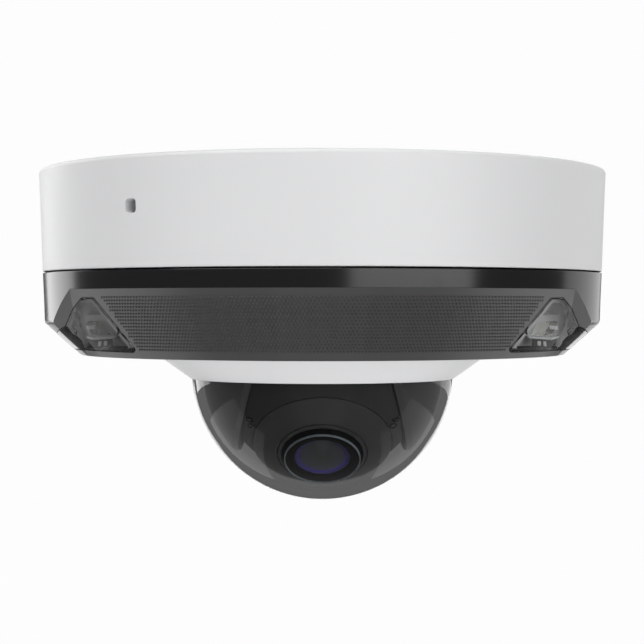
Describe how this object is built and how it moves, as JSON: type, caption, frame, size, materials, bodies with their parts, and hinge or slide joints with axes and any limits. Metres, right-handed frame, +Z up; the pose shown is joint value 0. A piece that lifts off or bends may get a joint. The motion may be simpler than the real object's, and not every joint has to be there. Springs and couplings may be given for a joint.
{
  "type": "fixed dome camera",
  "caption": "Ceiling dome camera: white drum, dark cover with angled infrared windows, and a clear bubble over a lens eyeball that pans, tilts and rolls by hand.",
  "frame": {"origin": "centre of the ceiling bracket's screw circle, on the ceiling face", "axes": "+Z up into the ceiling, -Y the front that the lens looks towards at rest, +X to the right seen from the front"},
  "size_m": [0.11, 0.11, 0.0641],
  "materials": {
    "white_plastic": "satin",
    "dark_cover": "gloss",
    "clear_dome": "gloss",
    "lamp_window": "gloss",
    "gimbal_plastic": "satin",
    "lens_metal": "satin",
    "lens_glass": "gloss",
    "rubber": "matte",
    "plate_steel": "satin",
    "cast_metal": "matte",
    "screw_steel": "satin",
    "circuit_board": "satin",
    "chip_plastic": "matte",
    "shield_metal": "satin",
    "tray_grey": "satin",
    "lamp_resin": "gloss",
    "card_plastic": "satin",
    "button_plastic": "satin"
  },
  "bodies": {
    "bracket": {"mounting_plate": "plate_steel"},
    "housing": {"drum_housing": "white_plastic", "cable_grommet": "rubber", "body_gasket": "rubber", "microphone_boot": "rubber", "microphone": "shield_metal", "main_board": "circuit_board", "board_screws": "screw_steel", "network_jack": "shield_metal", "processor_chip": "chip_plastic", "heat_sink": "cast_metal", "board_chips": "chip_plastic", "power_parts": "shield_metal", "card_slot": "shield_metal", "reset_switch": "chip_plastic", "chassis_frame": "cast_metal", "chassis_screws": "screw_steel", "pan_friction_washer": "screw_steel", "pan_retaining_ring": "gimbal_plastic", "retaining_ring_screws": "screw_steel"},
    "memory_card": {"memory_card": "card_plastic"},
    "reset_button": {"reset_button": "button_plastic"},
    "turntable": {"yoke_frame": "gimbal_plastic", "right_ear": "gimbal_plastic", "left_ear": "gimbal_plastic", "tilt_pins": "screw_steel", "tilt_washers": "rubber"},
    "eyeball": {"ball_front_shell": "gimbal_plastic", "ball_rear_shell": "gimbal_plastic", "ball_screws": "screw_steel"},
    "lens_module": {"lens_bezel": "gimbal_plastic", "roll_friction_ring": "rubber", "lens_barrel": "lens_metal", "lens_front_glass": "lens_glass", "lens_inner_glass": "lens_glass", "lens_lock_ring": "lens_metal", "lens_holder": "gimbal_plastic", "filter_switch": "chip_plastic", "image_sensor": "chip_plastic", "sensor_board": "circuit_board", "sensor_connector": "chip_plastic"},
    "cover": {"cover_shell": "dark_cover", "collar_ring": "white_plastic", "dome_bubble": "clear_dome", "dome_gasket": "rubber", "dome_clamp_ring": "cast_metal", "clamp_screws": "screw_steel", "ir_window_right": "lamp_window", "ir_window_left": "lamp_window", "ir_tray_right": "tray_grey", "ir_tray_left": "tray_grey", "ir_board_right": "circuit_board", "ir_board_left": "circuit_board", "ir_lamps": "lamp_resin"},
    "cover_screw_1": {"cover_screw_1": "screw_steel"},
    "cover_screw_2": {"cover_screw_2": "screw_steel"},
    "cover_screw_3": {"cover_screw_3": "screw_steel"}
  },
  "joints": [
    {"name": "mount_twist", "type": "hinge", "parent": "bracket", "child": "housing", "pos_m": [0, 0, 0], "axis": [0, 0, 1], "range_deg": [0, 22]},
    {"name": "pan", "type": "hinge", "parent": "housing", "child": "turntable", "pos_m": [0, 0, -0.0385], "axis": [0, 0, 1], "range_deg": [-177.5, 177.5]},
    {"name": "tilt", "type": "hinge", "parent": "turntable", "child": "eyeball", "pos_m": [0, 0, -0.0385], "axis": [1, 0, 0], "range_deg": [-31.6, 43.4]},
    {"name": "lens_roll", "type": "hinge", "parent": "eyeball", "child": "lens_module", "pos_m": [0, 0, -0.0385], "axis": [0, -0.6871, -0.7266], "range_deg": [-90, 90]},
    {"name": "cover_off", "type": "slide", "parent": "housing", "child": "cover", "axis": [0, 0, -1], "range_m": [0, 0.06]},
    {"name": "card_eject", "type": "slide", "parent": "housing", "child": "memory_card", "axis": [0, -1, 0], "range_m": [0, 0.012]},
    {"name": "reset_press", "type": "slide", "parent": "housing", "child": "reset_button", "axis": [0, 0, 1], "range_m": [0, 0.0005], "stiffness_N_per_m": 800, "springref_m": -0.0003},
    {"name": "screw_turn_1", "type": "hinge", "parent": "cover", "child": "cover_screw_1", "pos_m": [0, 0.0405, -0.0355], "axis": [0, 0, 1], "continuous": true},
    {"name": "screw_turn_2", "type": "hinge", "parent": "cover", "child": "cover_screw_2", "pos_m": [-0.04035, -0.00353, -0.0355], "axis": [0, 0, 1], "continuous": true},
    {"name": "screw_turn_3", "type": "hinge", "parent": "cover", "child": "cover_screw_3", "pos_m": [0.04035, -0.00353, -0.0355], "axis": [0, 0, 1], "continuous": true}
  ]
}
